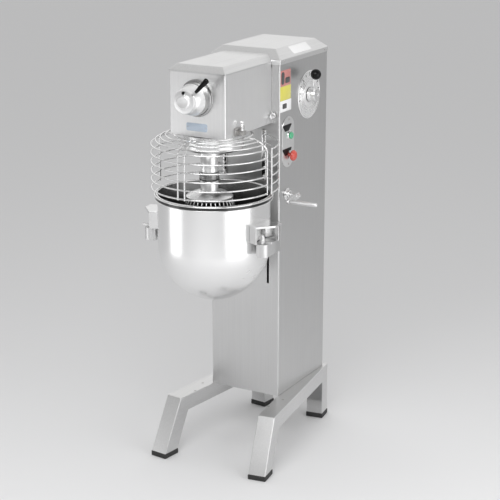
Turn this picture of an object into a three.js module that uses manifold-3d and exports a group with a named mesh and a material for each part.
// Floor-standing planetary mixer with a lifting bowl, in millimetres, +Z up.
// Inside this file the datum is the floor under the middle of the column's front face:
// X to the right, Y to the back, Z up. The last lines move the datum to the middle of the
// footprint. Each piece is its own named mesh, so the machine comes apart as on a bench.
import * as THREE from 'three';
import { mergeVertices } from 'three/addons/utils/BufferGeometryUtils.js';
import Module from 'manifold-3d';

const wasm = await Module();
wasm.setup();

// ---------------------------------------------------------------- driving dimensions
const FIT = 0.4;                // gap between two pieces that touch
const RUN = 1.5;                // gap round a piece that turns or slides
const SHEET = 2;                // wall of the folded cabinet

const COLUMN = { width: 249, depth: 326, bottom: 185, eave: 1276 };
const CAP = { rise: 44, lip: 15, bevel: 33, overhang: 3 };
const HEAD = { width: 191, nose: 93, bottom: 1091, eave: 1282 };       // nose: reach past the spindle
const COVER = { rise: 23, lip: 5, bevel: 20, overhang: 2 };

const BEAM = { width: 57, height: 52, wall: 3, inset: 3.5, splay: 7.43, front: 172, back: 347 };
const LEG = { reach: 85, depth: 57, foot: 17.5, rearDepth: 54 };

const BOWL = { radius: 174, wall: 2, bottom: 564, bulge: 181, top: 902 };
const RIM = { overhang: 10, height: 16 };
const YOKE = {
  bottom: 738, height: 40, bowlGap: 4, padRadius: 20, padOut: 24, padForward: 49, side: 8.5, wrap: 12,
  shoulder: [17, 29],           // widest place of the arm: out past the pad's middle, back from the bowl's
};
const TONGUE = { x: 85, thick: 5, bottom: 690, top: 790, depth: 52 };
const EAR = { height: 55, plate: 6, gusset: 5 };
const LIFT = { travel: 110, screwY: 50, screwRadius: 9, rodX: 52, rodRadius: 9 };

const DRUM = { radius: 93, bottom: 1040, wall: 6 };
const PLANET = { spindleGap: 14.4, turn: -73.6, tooth: 6 };  // turn: where the agitator stands at rest
const AGITATOR = { shaft: 14, sleeve: 27, sleeveBottom: 980, collar: 31, hub: 27, hubBottom: 918 };
const WHIP = { dome: 72, domeBottom: 888, bowlGap: 20, bottom: 584, wire: 4.4, loops: 6, taper: 1.15 };

const GUARD = { rimGap: 6, wire: 5, lowest: 922, pitch: 27, rings: 6, halfAngle: 88, midStay: 3.5 };
const SHOULDER = [[14, 1069], [29, 1078], [45, 1084]];       // rings: step in from the guard, height
const SLEW = { drumGap: 25, width: 8, height: 4, z: 1084 };
const SIDE_GUARD = { gap: 2.5, from: 2, to: 69 };

const HUB = { z: 1209, radius: 50, nose: 35, length: 75, disc: 21, discDepth: 10, bore: 17 };
const DIAL = { y: 197, z: 1154, radius: 77, thick: 2.5, hub: 22, hubLength: 28 };
const LEVER = { lean: 27, length: 82, out: 24, radius: 5, ball: 17 };
const PANEL = { y: 54, bottom: 945, top: 1107, width: 78, thick: 3 };
const START = { y: 60, z: 1046, radius: 11, travel: 4 };
const STOP = { y: 62, z: 982, radius: 17.5, travel: 5 };
const CRANK = {
  y: LIFT.screwY, z: 857, shaft: 8, reach: 63, drop: 5, out: 36.5, eye: 10, arm: 7, grip: 7, gripLength: 96,
};
const GLAND = { x: -70, z: 260, radius: 9.5 };
const KNOB = { x: 106, z: 1117, radius: 9, length: 16, neck: 4 };
const MOTOR = { fromBack: 111, radius: 76, bottom: 900, height: 190 };
const BELT = { z: 1140, height: 14, motorPulley: 32, spindlePulley: 62, thick: 6 };

// ---------------------------------------------------------------- worked-out values
const halfColumn = COLUMN.width / 2;
const halfHead = HEAD.width / 2;
const columnTop = COLUMN.eave + CAP.lip - SHEET;
const rimRadius = BOWL.radius + RIM.overhang;
const guardRadius = rimRadius + GUARD.rimGap;
const sideGuardRadius = guardRadius + GUARD.wire + SIDE_GUARD.gap;
const shoulder = SHOULDER.map(([stepIn, z]) => [guardRadius - stepIn, z]);
const bowlY = -(guardRadius + GUARD.wire / 2 + RUN);
const headLength = HEAD.nose - bowlY;
const motorY = COLUMN.depth - MOTOR.fromBack;
const crankX = halfColumn + CRANK.out;
const padX = BOWL.radius + YOKE.padOut;
const yokeSide = halfColumn + YOKE.side;
const bowlCentre = BOWL.bottom + BOWL.bulge;
const rad = THREE.MathUtils.degToRad;
const ringGearRadius = DRUM.radius - DRUM.wall - RUN;
const ringPitch = ringGearRadius - PLANET.tooth;
const planetRadius = (ringPitch - RUN - AGITATOR.shaft - PLANET.spindleGap) / 2;
const orbitRadius = ringPitch - planetRadius - RUN;
const orbit = { x: orbitRadius * Math.cos(rad(PLANET.turn)), y: orbitRadius * Math.sin(rad(PLANET.turn)) };
const slewRadius = DRUM.radius + SLEW.drumGap;
const whipRadius = BOWL.radius - BOWL.wall - orbitRadius - WHIP.bowlGap;

// ---------------------------------------------------------------- finishes
const finish = (color, roughness, metalness) =>
  () => new THREE.MeshStandardMaterial({ color, roughness, metalness });
const brushed = finish(0xc4c4c2, 0.38, 1);
const polished = finish(0xe2e2e2, 0.12, 1);
const cast = finish(0xb9bab9, 0.5, 0.9);
const zinc = finish(0x9c9c98, 0.45, 0.9);
const blackPlastic = finish(0x111111, 0.35, 0);
const rubber = finish(0x1c1c1c, 0.85, 0);
const green = finish(0x2f9e5c, 0.35, 0);
const red = finish(0xc8281e, 0.35, 0);
const motorPaint = finish(0x4a5560, 0.55, 0.2);

// ---------------------------------------------------------------- shape helpers
function toSolid(geometry) {
  const bare = geometry.clone();
  for (const name of Object.keys(bare.attributes)) if (name !== 'position') bare.deleteAttribute(name);
  const merged = mergeVertices(bare, 1e-4);
  return new wasm.Manifold(new wasm.Mesh({
    numProp: 3,
    vertProperties: new Float32Array(merged.attributes.position.array),
    triVerts: new Uint32Array(merged.index.array),
  }));
}

function toGeometry(solid) {
  const data = solid.getMesh();
  const geometry = new THREE.BufferGeometry();
  geometry.setAttribute('position', new THREE.BufferAttribute(new Float32Array(data.vertProperties), 3));
  geometry.setIndex(new THREE.BufferAttribute(new Uint32Array(data.triVerts), 1));
  geometry.computeVertexNormals();
  return geometry;
}

const joined = (...pieces) => toGeometry(pieces.map(toSolid).reduce((a, b) => a.add(b)));
const cut = (body, ...tools) =>
  toGeometry(tools.map(toSolid).reduce((left, tool) => left.subtract(tool), toSolid(body)));

// a box by its limits on each axis
function block([x0, x1], [y0, y1], [z0, z1]) {
  const shape = new THREE.BoxGeometry(x1 - x0, y1 - y0, z1 - z0);
  return shape.translate((x0 + x1) / 2, (y0 + y1) / 2, (z0 + z1) / 2);
}

// a round bar along an axis, from its base point
function bar(radius, length, axis, [x, y, z], sides = 24, endRadius = radius) {
  const shape = new THREE.CylinderGeometry(endRadius, radius, length, sides);
  shape.translate(0, length / 2, 0);
  if (axis === 'z') shape.rotateX(Math.PI / 2);
  if (axis === 'x') shape.rotateZ(-Math.PI / 2);
  if (axis === '-y') shape.rotateX(Math.PI);
  return shape.translate(x, y, z);
}

// a turned piece: the profile is a list of [radius, height] from the axis back to the axis
function turned(profile, sides = 32) {
  const points = profile.map(([r, z]) => new THREE.Vector2(r, z));
  return new THREE.LatheGeometry(points, sides).rotateX(Math.PI / 2);
}

// a flat outline in plan, raised from z0 to z1
function plate(points, z0, z1) {
  const shape = new THREE.Shape(points.map(([x, y]) => new THREE.Vector2(x, y)));
  const body = new THREE.ExtrudeGeometry(shape, { depth: z1 - z0, bevelEnabled: false });
  return body.translate(0, 0, z0);
}

// an outline drawn as [y, z] on the column's right side, standing out from x0 to x1
function sidePlate(shape, x0, x1) {
  const body = new THREE.ExtrudeGeometry(shape, { depth: x1 - x0, bevelEnabled: false, curveSegments: 12 });
  return body.rotateX(Math.PI / 2).rotateZ(Math.PI / 2).translate(x0, 0, 0);
}

function arcPoints(cx, cy, radius, from, to, steps) {
  return Array.from({ length: steps + 1 }, (_, i) => {
    const angle = from + ((to - from) * i) / steps;
    return [cx + radius * Math.cos(angle), cy + radius * Math.sin(angle)];
  });
}

// square-section wire along a smooth line through a list of points
function wire(points, diameter, sides = 4) {
  const stops = points.map(([x, y, z]) => new THREE.Vector3(x, y, z));
  const curve = new THREE.CatmullRomCurve3(stops, false, 'centripetal');
  const corners = arcPoints(0, 0, diameter / 2, 0, 2 * Math.PI, sides).slice(0, -1);
  const section = new THREE.Shape(corners.map(([x, y]) => new THREE.Vector2(x, y)));
  return new THREE.ExtrudeGeometry(section, {
    steps: stops.length - 1, bevelEnabled: false, extrudePath: curve,
  });
}

// a straight rod between two points
function rod(from, to, radius, sides = 4, endRadius = radius) {
  const start = new THREE.Vector3(...from);
  const way = new THREE.Vector3(...to).sub(start);
  const shape = new THREE.CylinderGeometry(endRadius, radius, way.length(), sides);
  shape.translate(0, way.length() / 2, 0);
  const upright = new THREE.Vector3(0, 1, 0);
  shape.applyQuaternion(new THREE.Quaternion().setFromUnitVectors(upright, way.normalize()));
  return shape.translate(start.x, start.y, start.z);
}

// a lid with an upright lip and sloped edges, by the limits of the walls that it covers
function lid([x0, x1], [y0, y1], eave, lip, rise, bevel, frontBevel, backBevel) {
  const ring = (inX, inFront, inBack, z) => [
    [x0 + inX, y0 + inFront, z], [x1 - inX, y0 + inFront, z],
    [x1 - inX, y1 - inBack, z], [x0 + inX, y1 - inBack, z],
  ];
  const corners = [
    ...ring(0, 0, 0, eave), ...ring(0, 0, 0, eave + lip), ...ring(bevel, frontBevel, backBevel, eave + rise),
  ];
  const faces = [[0, 2, 1], [0, 3, 2], [8, 9, 10], [8, 10, 11]];
  for (const base of [0, 4]) {
    for (let i = 0; i < 4; i++) {
      const j = (i + 1) % 4;
      faces.push([base + i, base + j, base + j + 4], [base + i, base + j + 4, base + i + 4]);
    }
  }
  const geometry = new THREE.BufferGeometry();
  geometry.setAttribute('position', new THREE.BufferAttribute(new Float32Array(corners.flat()), 3));
  geometry.setIndex(faces.flat());
  return geometry;
}

const mirrored = (points) => points.map(([x, y]) => [-x, y]).reverse();
const sideOf = (side, points) => (side > 0 ? points : mirrored(points));
const sideName = { 1: 'right', '-1': 'left' };

// ---------------------------------------------------------------- the assembly
const machine = new THREE.Group();

function piece(name, geometry, material, position = [0, 0, 0], parent = machine) {
  const mesh = new THREE.Mesh(geometry, material());
  mesh.name = name;
  mesh.position.set(...position);
  parent.add(mesh);
  return mesh;
}

function group(x, y, z) {
  const part = new THREE.Group();
  part.position.set(x, y, z);
  machine.add(part);
  return part;
}

// ---- base: two splayed side frames of folded tube, each with a raked and an upright leg
function frameOutline(wall) {
  const rake = Math.atan2(LEG.reach, COLUMN.bottom - LEG.foot);
  const along = new THREE.Vector2(Math.sin(rake), -Math.cos(rake));
  const inward = new THREE.Vector2(-Math.cos(rake), -Math.sin(rake));
  const nose = new THREE.Vector2(BEAM.front, COLUMN.bottom);
  const top = COLUMN.bottom - wall;
  const under = COLUMN.bottom - BEAM.height + wall;
  const low = wall > 0 ? LEG.foot - BEAM.height : LEG.foot;
  const onRake = (offset, z) => {
    const start = nose.clone().addScaledVector(inward, offset);
    return [start.x + (along.x * (start.y - z)) / -along.y, z];
  };
  const rear = -BEAM.back + wall;
  const rearInner = -BEAM.back + LEG.rearDepth - wall;
  return [
    [rear, low], [rearInner, low], [rearInner, under],
    onRake(LEG.depth - wall, under), onRake(LEG.depth - wall, low),
    onRake(wall, low), onRake(wall, top), [rear, top],
  ];
}

function sideFrame() {
  const stand = (points, width) => {
    const shape = new THREE.Shape(points.map(([s, z]) => new THREE.Vector2(-s, z)).reverse());
    const body = new THREE.ExtrudeGeometry(shape, { depth: width, bevelEnabled: false });
    return body.rotateX(Math.PI / 2).rotateZ(Math.PI / 2);
  };
  const outer = stand(frameOutline(0), BEAM.width);
  const inner = stand(frameOutline(BEAM.wall), BEAM.width - 2 * BEAM.wall).translate(BEAM.wall, 0, 0);
  return cut(outer, inner);
}

const legBottom = (() => {
  const outline = frameOutline(0);
  return { rear: [outline[0][0], outline[1][0]], front: [outline[4][0], outline[5][0]] };
})();

for (const side of [-1, 1]) {
  const stand = group(side * (halfColumn - BEAM.inset), 0, 0);
  stand.rotation.z = side * rad(BEAM.splay);
  const flip = side > 0 ? 0 : -BEAM.width;
  piece(`leg_frame_${sideName[side]}`, sideFrame(), brushed, [flip, 0, -FIT], stand);
  for (const [end, [s0, s1]] of Object.entries(legBottom)) {
    const pad = block([-1.5, BEAM.width + 1.5], [-s1 - 1.5, -s0 + 1.5], [0, LEG.foot - 2 * FIT]);
    piece(`foot_${end}_${sideName[side]}`, pad, rubber, [flip, 0, 0], stand);
  }
}

const stemRadius = 6;
const stemHoles = () => [START, STOP].map((b) =>
  bar(stemRadius + RUN / 2, 60, 'x', [halfColumn - 20, b.y, b.z], 16));

// ---- column: a folded cabinet with lift slots, a floor, a back cover and a sloped cap
const slotTop = TONGUE.top + 10;
const slotBottom = TONGUE.bottom - LIFT.travel - 12;
const windowTop = BELT.z + BELT.height + 26;
const windowBottom = BELT.z - 26;
const flange = 16;

function cabinet() {
  const base = COLUMN.bottom;
  const shell = block([-halfColumn, halfColumn], [0, COLUMN.depth], [base, columnTop]);
  const inside = halfColumn - SHEET;
  const room = block([-inside, inside], [SHEET, COLUMN.depth - 3 * SHEET], [base - 5, columnTop + 5]);
  const back = block([-inside + flange, inside - flange], [COLUMN.depth - 20, COLUMN.depth + 5],
    [base - 5, columnTop + 5]);
  const recess = block([-inside, inside], [COLUMN.depth - 2 * SHEET, COLUMN.depth + 5],
    [base - 5, columnTop + 5]);
  const slots = [-1, 1].map((side) => {
    const half = TONGUE.thick / 2 + RUN;
    return block([side * TONGUE.x - half, side * TONGUE.x + half], [-5, 10], [slotBottom, slotTop]);
  });
  const passage = block([-75, 75], [-5, 10], [windowBottom, windowTop]);
  const crankHole = bar(CRANK.shaft + RUN, 20, 'x', [halfColumn - 10, CRANK.y, CRANK.z], 16);
  const dialHole = bar(DIAL.hub / 2 + RUN, 20, 'x', [halfColumn - 10, DIAL.y, DIAL.z], 16);
  return cut(shell, room, back, recess, ...slots, passage, crankHole, dialHole, ...stemHoles());
}
piece('cabinet_shell', cabinet(), brushed);

const coverInside = halfColumn - SHEET - FIT;
const ventRows = 6;
const vents = Array.from({ length: ventRows }, (_, i) =>
  block([-60, 60], [COLUMN.depth - 20, COLUMN.depth + 5], [980 + i * 22, 986 + i * 22]));
piece('rear_cover', cut(
  block([-coverInside, coverInside], [COLUMN.depth - 2 * SHEET + FIT, COLUMN.depth],
    [COLUMN.bottom + FIT, columnTop - FIT]), ...vents,
  bar(GLAND.radius + RUN, 30, '-y', [GLAND.x, COLUMN.depth + 10, GLAND.z], 16)), brushed);
piece('column_floor', block([-coverInside, coverInside], [SHEET + FIT, COLUMN.depth - 3 * SHEET - FIT],
  [COLUMN.bottom + FIT, COLUMN.bottom + 4]), zinc);

const capLid = (inset, drop) => lid(
  [-halfColumn - CAP.overhang + inset, halfColumn + CAP.overhang - inset],
  [-CAP.overhang + inset, COLUMN.depth + CAP.overhang - inset],
  COLUMN.eave - drop, CAP.lip + drop, CAP.rise + drop - inset, CAP.bevel, CAP.bevel, CAP.bevel);
piece('column_cap', cut(capLid(0, 0), capLid(CAP.overhang - FIT, 5)), brushed);

const capClearance = lid(
  [-halfColumn - CAP.overhang, halfColumn + CAP.overhang], [-CAP.overhang - FIT, COLUMN.depth],
  COLUMN.eave - 10, CAP.lip + 10 + FIT, CAP.rise + 10 + FIT, CAP.bevel, CAP.bevel, 0);

// ---- head: a folded box that carries the drive, with its own sloped cover
function headBox() {
  const out = block([-halfHead, halfHead], [-headLength, -FIT], [HEAD.bottom, HEAD.eave]);
  const room = block([-halfHead + SHEET, halfHead - SHEET], [-headLength + SHEET, 5],
    [HEAD.bottom + SHEET, HEAD.eave + 5]);
  const spindleHole = bar(AGITATOR.shaft + 4 + RUN, 30, 'z', [0, bowlY, HEAD.bottom - 10]);
  const hubHole = bar(HUB.bore + RUN, 30, '-y', [0, -headLength + 15, HUB.z]);
  return cut(out, room, spindleHole, hubHole, capClearance);
}
piece('head_housing', headBox(), brushed);

const headLid = (grow, down) => lid(
  [-halfHead - COVER.overhang + grow, halfHead + COVER.overhang - grow],
  [-headLength - COVER.overhang + grow, 30], HEAD.eave + FIT - down, COVER.lip + down - grow / 2,
  COVER.rise - FIT + down - grow, COVER.bevel, COVER.bevel, 0);
piece('head_cover', cut(headLid(0, 0), headLid(SHEET, 5), capClearance), brushed);

// ---- drive inside the head and column
piece('motor', joined(
  bar(MOTOR.radius, MOTOR.height, 'z', [0, motorY, MOTOR.bottom], 28),
  bar(MOTOR.radius - 18, 14, 'z', [0, motorY, MOTOR.bottom - 14], 28)), motorPaint);
const motorTop = MOTOR.bottom + MOTOR.height;
const plateTop = motorTop + FIT + 6;
piece('motor_plate', cut(
  block([-coverInside, coverInside], [motorY - 88, motorY + 88], [motorTop + FIT, plateTop]),
  bar(16, 40, 'z', [0, motorY, motorTop - 10], 20)), zinc);
const pulleyTurn = group(0, motorY, 0);
piece('motor_pulley', joined(
  bar(BELT.motorPulley, BELT.height, 'z', [0, 0, BELT.z]),
  bar(12, BELT.z - motorTop - FIT, 'z', [0, 0, motorTop + FIT], 16)), cast, [0, 0, 0], pulleyTurn);

function beltLoop(grow) {
  const big = BELT.spindlePulley + grow;
  const small = BELT.motorPulley + grow;
  const span = motorY - bowlY;
  const lean = Math.asin((big - small) / span);
  return [
    ...arcPoints(0, motorY, small, lean, Math.PI - lean, 10),
    ...arcPoints(0, bowlY, big, Math.PI - lean, 2 * Math.PI + lean, 20),
  ];
}
const beltGap = 0.8;
piece('drive_belt', cut(
  plate(beltLoop(beltGap + BELT.thick), BELT.z + 1, BELT.z + BELT.height - 1),
  plate(beltLoop(beltGap), BELT.z - 5, BELT.z + BELT.height + 5)), rubber);

piece('gearbox', cut(
  bar(70, BELT.z - 10 - HEAD.bottom - SHEET - FIT, 'z', [0, bowlY, HEAD.bottom + SHEET + FIT], 32),
  bar(AGITATOR.shaft + 4 + RUN, 200, 'z', [0, bowlY, HEAD.bottom - 20])), cast);

const drumTop = HEAD.bottom - RUN;
piece('ring_gear', cut(
  bar(ringGearRadius, 26, 'z', [0, bowlY, HEAD.bottom - 26 - FIT], 40),
  bar(ringPitch, 24, 'z', [0, bowlY, HEAD.bottom - 36], 40),
  bar(AGITATOR.shaft + 4 + RUN, 60, 'z', [0, bowlY, HEAD.bottom - 40])), zinc);

// ---- planetary drum: a cup on the spindle, carrying the agitator off its centre
const carrier = group(0, bowlY, 0);
function drum() {
  const cup = turned([
    [0, DRUM.bottom], [DRUM.radius - 10, DRUM.bottom], [DRUM.radius - 3, DRUM.bottom + 3],
    [DRUM.radius, DRUM.bottom + 10], [DRUM.radius, drumTop], [DRUM.radius - DRUM.wall, drumTop],
    [DRUM.radius - DRUM.wall, DRUM.bottom + DRUM.wall], [0, DRUM.bottom + DRUM.wall],
  ], 36);
  const bearing = bar(AGITATOR.sleeve + 6, DRUM.wall + 8, 'z', [orbit.x, orbit.y, DRUM.bottom - 8], 32);
  const bore = bar(AGITATOR.shaft + RUN / 2, 60, 'z', [orbit.x, orbit.y, DRUM.bottom - 30]);
  return cut(joined(cup, bearing), bore);
}
piece('planetary_drum', drum(), polished, [0, 0, 0], carrier);
piece('spindle', bar(AGITATOR.shaft, BELT.z - DRUM.bottom - DRUM.wall - 2 * FIT, 'z',
  [0, 0, DRUM.bottom + DRUM.wall + FIT]), zinc, [0, 0, 0], carrier);
piece('spindle_pulley', joined(
  bar(BELT.spindlePulley, BELT.height, 'z', [0, 0, BELT.z], 36),
  bar(24, BELT.height + 12, 'z', [0, 0, BELT.z])), cast, [0, 0, 0], carrier);

// ---- agitator: planet gear, shaft, sleeve, bayonet collar and the wire whip
const tool = group(orbit.x, bowlY + orbit.y, 0);
const sleeveTop = DRUM.bottom - 8 - RUN;
const collarBottom = AGITATOR.sleeveBottom - 26;
piece('agitator_shaft', joined(
  bar(AGITATOR.shaft, HEAD.bottom - 34 - collarBottom + 10, 'z', [0, 0, collarBottom - 10]),
  bar(AGITATOR.sleeve, sleeveTop - AGITATOR.sleeveBottom, 'z', [0, 0, AGITATOR.sleeveBottom], 28)),
  polished, [0, 0, 0], tool);
piece('planet_gear', cut(
  bar(planetRadius, 14, 'z', [0, 0, HEAD.bottom - 31], 26),
  bar(AGITATOR.shaft + FIT, 40, 'z', [0, 0, HEAD.bottom - 50])), zinc, [0, 0, 0], tool);
piece('bayonet_collar', cut(
  turned([
    [0, collarBottom + FIT], [AGITATOR.collar - 2, collarBottom + FIT], [AGITATOR.collar, collarBottom + 3],
    [AGITATOR.collar, AGITATOR.sleeveBottom - 3], [AGITATOR.collar - 3, AGITATOR.sleeveBottom - FIT],
    [0, AGITATOR.sleeveBottom - FIT],
  ], 28),
  bar(AGITATOR.shaft + FIT, 60, 'z', [0, 0, collarBottom - 20])), polished, [0, 0, 0], tool);

// half outline of the whip: from the dome, out to the widest place, in to the bottom
function whipOutline(steps) {
  const centre = (WHIP.domeBottom + WHIP.bottom) / 2 - 8;
  const up = WHIP.domeBottom - centre;
  const down = centre - WHIP.bottom;
  const start = Math.acos(((WHIP.dome - 6) / whipRadius) ** (1 / WHIP.taper));
  return Array.from({ length: steps + 1 }, (_, i) => {
    const angle = start - ((start + Math.PI / 2) * i) / steps;
    const reach = whipRadius * Math.pow(Math.abs(Math.cos(angle)), WHIP.taper);
    const height = angle > 0 ? (up * Math.sin(angle)) / Math.sin(start) : down * Math.sin(angle);
    return [reach, centre + height];
  });
}

function whip() {
  const half = whipOutline(8);
  const loop = [...half, ...half.slice(0, -1).reverse().map(([r, z]) => [-r, z])];
  const wires = Array.from({ length: WHIP.loops }, (_, i) => {
    const angle = (i / WHIP.loops) * Math.PI;
    const lift = (i - WHIP.loops / 2) * 0.9;
    return wire(loop.map(([r, z]) => {
      const drop = z < WHIP.bottom + 40 ? lift : 0;
      return [r * Math.cos(angle), r * Math.sin(angle), z + drop];
    }), WHIP.wire);
  });
  const top = AGITATOR.hubBottom + 36;
  const body = turned([
    [0, WHIP.domeBottom], [WHIP.dome, WHIP.domeBottom - 2], [WHIP.dome, WHIP.domeBottom + 5],
    [WHIP.dome - 12, AGITATOR.hubBottom - 4], [AGITATOR.hub, AGITATOR.hubBottom + 4],
    [AGITATOR.hub, top - FIT], [0, top - FIT],
  ], 24);
  const socket = bar(AGITATOR.shaft + FIT, 60, 'z', [0, 0, collarBottom - 14]);
  return cut(joined(body, ...wires), socket);
}
piece('wire_whip', whip(), polished, [0, 0, 0], tool);

// ---- bowl on its yoke
const lifted = group(0, 0, 0);
function bowl() {
  const inside = BOWL.radius - BOWL.wall;
  const quarter = (radius, bulge, steps) => Array.from({ length: steps + 1 }, (_, i) => {
    const angle = (Math.PI / 2) * (1 - i / steps);
    return [radius * Math.cos(angle), bowlCentre - bulge * Math.sin(angle)];
  });
  const outer = quarter(BOWL.radius, BOWL.bulge, 8);
  const inner = quarter(inside, BOWL.bulge - BOWL.wall, 8).reverse();
  outer[0][0] = 0;
  inner[inner.length - 1][0] = 0;
  const rimBottom = BOWL.top - RIM.height;
  const rim = [
    [BOWL.radius, rimBottom], [rimRadius - 3, rimBottom], [rimRadius, rimBottom + 4],
    [rimRadius, BOWL.top - 4], [rimRadius - 4, BOWL.top], [inside + 3, BOWL.top], [inside, BOWL.top - 3],
  ];
  return turned([...outer, ...rim, ...inner], 32).translate(0, bowlY, 0);
}
piece('bowl', bowl(), polished, [0, 0, 0], lifted);

const padY = bowlY - YOKE.padForward;
const yokeInner = BOWL.radius + YOKE.bowlGap;
const yokeTop = YOKE.bottom + YOKE.height;
function yoke() {
  const wrap = -rad(YOKE.wrap);
  const inner = [yokeInner * Math.cos(wrap), bowlY + yokeInner * Math.sin(wrap)];
  const [shoulderOut, shoulderBack] = YOKE.shoulder;
  const arm = [[yokeSide, -RUN - 1], [padX + shoulderOut, bowlY + shoulderBack],
    [padX + YOKE.padRadius - 0.5, padY], [padX - YOKE.padRadius + 1, padY], inner,
    [inner[0] + 1, inner[1] + 40], [yokeSide - 30, -RUN - 1]];
  const arms = [-1, 1].map((side) => joined(
    plate(sideOf(side, arm), YOKE.bottom, yokeTop),
    bar(YOKE.padRadius, YOKE.height, 'z', [side * padX, padY, YOKE.bottom], 24)));
  const back = block([-yokeSide, yokeSide], [bowlY + 60, -RUN], [YOKE.bottom, yokeTop]);
  const tongues = [-1, 1].map((side) => block(
    [side * TONGUE.x - TONGUE.thick / 2, side * TONGUE.x + TONGUE.thick / 2],
    [-RUN - 8, TONGUE.depth], [TONGUE.bottom + 20, TONGUE.top - 20]));
  const clear = bar(yokeInner, 200, 'z', [0, bowlY, YOKE.bottom - 80], 64);
  return joined(cut(joined(back, ...arms), clear), ...tongues);
}
piece('bowl_yoke', yoke(), cast, [0, 0, 0], lifted);

const carriageTop = yokeTop - 4;
const carriageBottom = YOKE.bottom - 6;
const rods = [-1, 1].map((side) => side * LIFT.rodX);
piece('lift_carriage', cut(
  block([-TONGUE.x + TONGUE.thick / 2 + FIT, TONGUE.x - TONGUE.thick / 2 - FIT],
    [LIFT.screwY - 24, LIFT.screwY + 24], [carriageBottom, carriageTop]),
  ...rods.map((x) => bar(LIFT.rodRadius + RUN, 100, 'z', [x, LIFT.screwY, carriageBottom - 20], 20)),
  bar(LIFT.screwRadius + RUN, 100, 'z', [0, LIFT.screwY, carriageBottom - 20], 20)), cast, [0, 0, 0], lifted);

// bowl ears: a shelf with two gussets that stand on the yoke's pads
for (const side of [-1, 1]) {
  const shelfTop = yokeTop + FIT + EAR.height;
  const wall = BOWL.radius;
  const shelf = [
    [wall - 35, bowlY - 56], [wall + 15, bowlY - 76], [wall + 58, bowlY - 30],
    [wall + 62, bowlY + 4], [wall - 6, bowlY + 26],
  ];
  const gusset = (a, b) => {
    const [dx, dy] = [b[0] - a[0], b[1] - a[1]];
    const size = Math.hypot(dx, dy);
    const [nx, ny] = [(-dy / size) * EAR.gusset, (dx / size) * EAR.gusset];
    return [a, b, [b[0] + nx, b[1] + ny], [a[0] + nx, a[1] + ny]];
  };
  const tools = [bar(BOWL.radius + FIT, 200, 'z', [0, bowlY, yokeTop - 50], 80)];
  const ear = joined(
    plate(sideOf(side, shelf), shelfTop - EAR.plate, shelfTop),
    plate(sideOf(side, gusset(shelf[0], shelf[1])), yokeTop + FIT, shelfTop - 1),
    plate(sideOf(side, gusset([wall - 6, bowlY + 12], [wall + 52, bowlY - 2])), yokeTop + FIT, shelfTop - 1));
  piece(`bowl_ear_${sideName[side]}`, cut(ear, ...tools), cast, [0, 0, 0], lifted);

  const clamp = group(side * padX, padY, yokeTop + FIT);
  const wing = side > 0 ? [6, 32] : [-32, -6];
  piece(`bowl_clamp_${sideName[side]}`, joined(
    bar(9, 11, 'z', [0, 0, 0], 20, 9), bar(9, 17, 'z', [0, 0, 10], 20, 4),
    block(wing, [-4, 4], [2, 10])), cast, [0, 0, 0], clamp);
}

// ---- lift drive: screw, guide rods and the side crank
const rodTop = CRANK.z - 31;
const rodBottom = TONGUE.bottom - LIFT.travel - 20;
for (const [i, x] of rods.entries()) {
  piece(`guide_rod_${i ? 'right' : 'left'}`,
    bar(LIFT.rodRadius, rodTop - rodBottom, 'z', [x, LIFT.screwY, rodBottom], 20), polished);
}
const rodBracket = (z0, z1) => cut(
  block([-halfColumn + SHEET + FIT, halfColumn - SHEET - FIT], [SHEET + FIT, LIFT.screwY + 26], [z0, z1]),
  bar(LIFT.screwRadius + RUN, 80, 'z', [0, LIFT.screwY, z0 - 20], 20));
piece('rod_bracket_upper', rodBracket(rodTop + FIT, rodTop + FIT + 8), zinc);
piece('rod_bracket_lower', rodBracket(rodBottom - FIT - 8, rodBottom - FIT), zinc);
const screwTurn = group(0, LIFT.screwY, 0);
piece('lift_screw', joined(
  bar(LIFT.screwRadius, rodTop + 16 - rodBottom, 'z', [0, 0, rodBottom - 4]),
  bar(15, 8, 'z', [0, 0, rodTop + 6 + 4], 20, 11)), zinc, [0, 0, 0], screwTurn);

const crankTurn = group(0, CRANK.y, CRANK.z);
piece('crank_shaft', joined(
  bar(CRANK.shaft, crankX - 16, 'x', [16, 0, 0], 20),
  bar(8, 8, 'x', [14, 0, 0], 20, 13)), polished, [0, 0, 0], crankTurn);
piece('crank_bush', cut(
  bar(20, 14, 'x', [halfColumn + FIT, CRANK.y, CRANK.z], 28),
  bar(CRANK.shaft + RUN / 2, 60, 'x', [halfColumn - 10, CRANK.y, CRANK.z], 20)), polished);
function crankArm() {
  const lean = Math.atan2(CRANK.drop, CRANK.reach);
  const outline = new THREE.Shape();
  outline.absarc(0, 0, CRANK.eye, 1.5 * Math.PI - lean, 2.5 * Math.PI, false);
  outline.absarc(-CRANK.reach, -CRANK.drop, CRANK.eye - 2, 0.5 * Math.PI, 1.5 * Math.PI, false);
  return sidePlate(outline, 0, CRANK.arm);
}
piece('crank_arm', crankArm(), polished, [crankX + FIT, 0, 0], crankTurn);
piece('crank_grip', bar(CRANK.grip, CRANK.gripLength, 'x', [0, 0, 0], 20), polished,
  [crankX + CRANK.arm + 2 * FIT, -CRANK.reach, -CRANK.drop], crankTurn);

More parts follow.
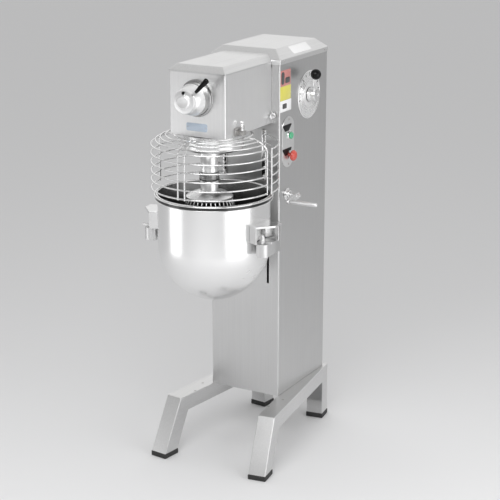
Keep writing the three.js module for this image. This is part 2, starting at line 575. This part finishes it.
// ---- guard: a turning wire cage round the front, and two fixed side sections
const arcXYZ = (radius, z, from, to, steps) =>
  arcPoints(0, 0, radius, rad(from), rad(to), steps).map(([x, y]) => [x, y, z]);
const ringHeights = Array.from({ length: GUARD.rings }, (_, i) => GUARD.lowest + i * GUARD.pitch);
const guardTurn = group(0, bowlY, 0);
function frontGuard() {
  const [from, to] = [-90 - GUARD.halfAngle, -90 + GUARD.halfAngle];
  const hoops = [...ringHeights.map((z) => [guardRadius, z]), ...shoulder];
  const rings = hoops.map(([r, z]) => wire(arcXYZ(r, z, from, to, 12), GUARD.wire));
  const slew = cut(
    bar(slewRadius + SLEW.width / 2, SLEW.height, 'z', [0, 0, SLEW.z - SLEW.height / 2], 32),
    bar(slewRadius - SLEW.width / 2, 30, 'z', [0, 0, SLEW.z - 15], 32));
  const profile = [[guardRadius, GUARD.lowest - 4], [guardRadius, ringHeights.at(-1)], ...shoulder,
    [slewRadius, SLEW.z]];
  const stays = [from, -90 - GUARD.midStay, -90 + GUARD.midStay, to].flatMap((angle) => {
    const stops = profile.map(([r, z]) => [r * Math.cos(rad(angle)), r * Math.sin(rad(angle)), z]);
    return stops.slice(1).map((stop, i) => rod(stops[i], stop, GUARD.wire / 2));
  });
  return joined(...rings, slew, ...stays);
}
piece('guard_front', frontGuard(), polished, [0, 0, 0], guardTurn);

for (const side of [-1, 1]) {
  const [a, b] = side > 0 ? [SIDE_GUARD.from, SIDE_GUARD.to] : [180 - SIDE_GUARD.to, 180 - SIDE_GUARD.from];
  const rings = ringHeights.map((z) => wire(arcXYZ(sideGuardRadius, z, a, b, 6), GUARD.wire)
    .translate(0, bowlY, 0));
  const angle = rad(SIDE_GUARD.from);
  const endX = side * sideGuardRadius * Math.cos(angle);
  const endY = bowlY + sideGuardRadius * Math.sin(angle);
  const post = rod([endX, endY, GUARD.lowest - 4], [endX, endY, ringHeights.at(-1) + 4], GUARD.wire / 2);
  const barX = sideGuardRadius * Math.cos(rad(SIDE_GUARD.to));
  const strap = block(side > 0 ? [barX - 7, barX + 7] : [-barX - 7, -barX + 7], [-5, -FIT],
    [GUARD.lowest - 14, ringHeights.at(-1) + 14]);
  const ties = ringHeights.map((z) => block(
    side > 0 ? [barX - 2, barX + 3] : [-barX - 3, -barX + 2], [-10.5, -4], [z - 2, z + 2]));
  piece(`guard_side_${sideName[side]}`, joined(...rings, post, strap, ...ties), polished);
}

// bracket on the head's side, with the sprung pin that holds the guard shut
const latch = { x: halfHead + 11.5, y: bowlY - 13, radius: 4, bottom: 1093, top: 1134 };
piece('guard_bracket', cut(joined(
  block([halfHead + FIT, halfHead + 4], [latch.y - 28, latch.y + 28], [HEAD.bottom + 2, HEAD.bottom + 26]),
  block([halfHead + 3, latch.x + 10], [latch.y - 10, latch.y + 10], [HEAD.bottom + 4, HEAD.bottom + 16])),
  bar(latch.radius + RUN / 2, 80, 'z', [latch.x, latch.y, HEAD.bottom - 20], 16)), zinc);
piece('guard_latch_pin', joined(
  bar(latch.radius, latch.top - latch.bottom, 'z', [0, 0, latch.bottom], 16),
  bar(latch.radius + 2, 6, 'z', [0, 0, latch.top - 4], 16),
  bar(latch.radius + 2, 3, 'z', [0, 0, HEAD.bottom + 17], 16)), polished, [latch.x, latch.y, 0]);
piece('cabinet_knob', joined(
  bar(KNOB.neck, 6, '-y', [KNOB.x, -FIT, KNOB.z], 16),
  bar(KNOB.radius, KNOB.length - 5, '-y', [KNOB.x, -FIT - 5, KNOB.z], 20)), polished);

// ---- attachment hub on the head's front
const hubAt = group(0, -headLength - FIT, HUB.z);
function hub() {
  const lying = (g) => g.rotateX(Math.PI / 2);
  const body = lying(turned([
    [0, 0], [HUB.radius + 6, 0], [HUB.radius + 6, 5], [HUB.radius, 8], [HUB.radius - 1, 22],
    [HUB.nose + 5, 56], [HUB.nose, 66], [HUB.nose, HUB.length], [0, HUB.length],
  ], 36));
  const bore = bar(HUB.bore, HUB.length + 20, '-y', [0, 10, 0]);
  const clampHole = bar(5 + RUN / 2, 90, 'z', [0, 0, 0], 16).rotateY(Math.PI / 4).translate(0, -54, 0);
  return cut(body, bore, clampHole);
}
piece('attachment_hub', hub(), cast, [0, 0, 0], hubAt);
piece('hub_shaft', bar(HUB.bore - 4, HUB.length + 52, '-y', [0, 60, 0], 20), polished, [0, 0, 0], hubAt);
piece('hub_cover', joined(
  bar(HUB.disc, HUB.discDepth, '-y', [0, -HUB.length - FIT, 0], 28),
  bar(5, 4, '-y', [0, -HUB.length - FIT, 27], 16),
  block([-4, 4], [-HUB.length - FIT - 3, -HUB.length - FIT], [10, 27])), polished, [0, 0, 0], hubAt);
function hubLever() {
  const shank = bar(5, 28, 'z', [0, 0, HUB.bore + 4], 12);
  const grip = new THREE.CylinderGeometry(8.5, 5.5, 46, 12).rotateX(Math.PI / 2).scale(1, 0.7, 1)
    .translate(0, 0, HUB.nose + 6 + 28);
  const end = new THREE.SphereGeometry(8.5, 12, 8).scale(1, 0.7, 0.8).translate(0, 0, HUB.nose + 6 + 50);
  return joined(shank, grip, end).rotateY(Math.PI / 4);
}
piece('hub_lock_lever', hubLever(), blackPlastic, [0, -54, 0], hubAt);

// ---- speed dial and lever on the column's right side
const sideFace = halfColumn + FIT;
const dialAt = group(sideFace, DIAL.y, DIAL.z);
piece('speed_dial', cut(
  bar(DIAL.radius, DIAL.thick, 'x', [0, 0, 0], 48),
  bar(DIAL.hub / 2 + RUN, 20, 'x', [-5, 0, 0], 24)), polished, [0, 0, 0], dialAt);
const hubStart = DIAL.thick + 1;
piece('speed_hub', joined(
  bar(DIAL.hub / 2, 24, 'x', [-18, 0, 0], 24),
  bar(DIAL.hub, DIAL.hubLength, 'x', [hubStart, 0, 0], 28)), polished, [0, 0, 0], dialAt);
const leverEnd = new THREE.Vector3(LEVER.out, -LEVER.length * Math.sin(rad(LEVER.lean)),
  LEVER.length * Math.cos(rad(LEVER.lean)));
const leverWay = leverEnd.clone().normalize();
function leverRod() {
  const foot = leverWay.clone().multiplyScalar(DIAL.hub + 4);
  const tip = leverWay.clone().multiplyScalar(leverEnd.length() - LEVER.ball + 1);
  return rod(foot.toArray(), tip.toArray(), LEVER.radius, 16, LEVER.radius + 1.5);
}
const rodStart = hubStart + DIAL.hubLength - 12;
piece('speed_lever', leverRod(), polished, [rodStart, 0, 0], dialAt);
function leverBall() {
  const ball = new THREE.SphereGeometry(LEVER.ball, 16, 10);
  const flat = block([-12, 12], [-12, 12], [-12, 0]);
  flat.applyQuaternion(new THREE.Quaternion().setFromUnitVectors(new THREE.Vector3(0, 0, 1), leverWay));
  const back = leverWay.clone().multiplyScalar(3 - LEVER.ball - FIT);
  return cut(ball, flat.translate(back.x, back.y, back.z));
}
piece('speed_ball', leverBall(), blackPlastic,
  [rodStart + leverEnd.x, leverEnd.y, leverEnd.z], dialAt);

// ---- control plate with the start and stop buttons
function racetrack(y, bottom, top, width) {
  const r = width / 2;
  const shape = new THREE.Shape();
  shape.absarc(y, top - r, r, 0, Math.PI, false);
  shape.absarc(y, bottom + r, r, Math.PI, 2 * Math.PI, false);
  return shape;
}
const panelFace = sideFace + PANEL.thick;
piece('control_plate', cut(
  sidePlate(racetrack(PANEL.y, PANEL.bottom, PANEL.top, PANEL.width), sideFace, panelFace),
  ...stemHoles()), brushed);
const buttonBase = panelFace + FIT;
piece('start_button', joined(
  bar(stemRadius, 13 + START.travel, 'x', [-12, 0, 0], 16),
  bar(START.radius, 5, 'x', [START.travel + 0.5, 0, 0], 24, START.radius - 1)),
green, [buttonBase, START.y, START.z]);
piece('stop_button', joined(
  bar(stemRadius, 12 + STOP.travel + 3, 'x', [-12, 0, 0], 16),
  turned([[0, STOP.travel + 1], [STOP.radius - 5, STOP.travel + 1], [STOP.radius, STOP.travel + 7],
    [STOP.radius - 1, STOP.travel + 12], [STOP.radius - 7, STOP.travel + 17], [0, STOP.travel + 19]], 28)
    .rotateY(Math.PI / 2)), red, [buttonBase, STOP.y, STOP.z]);
const glandNut = cut(
  bar(15, 12, '-y', [GLAND.x, COLUMN.depth + 14, GLAND.z], 6),
  block([GLAND.x - 30, GLAND.x + 30], [COLUMN.depth - 30, COLUMN.depth + FIT], [GLAND.z - 30, GLAND.z + 30]));
piece('cable_gland', joined(
  bar(GLAND.radius, 10, '-y', [GLAND.x, COLUMN.depth + FIT + 4, GLAND.z], 16), glandNut), blackPlastic);

// ---------------------------------------------------------------- datum at the footprint's middle
const model = new THREE.Group();
model.add(machine);
model.updateMatrixWorld(true);
const bounds = new THREE.Box3().setFromObject(model, true);
const middle = bounds.getCenter(new THREE.Vector3());
machine.position.set(-middle.x, -middle.y, -bounds.min.z);

export default model;
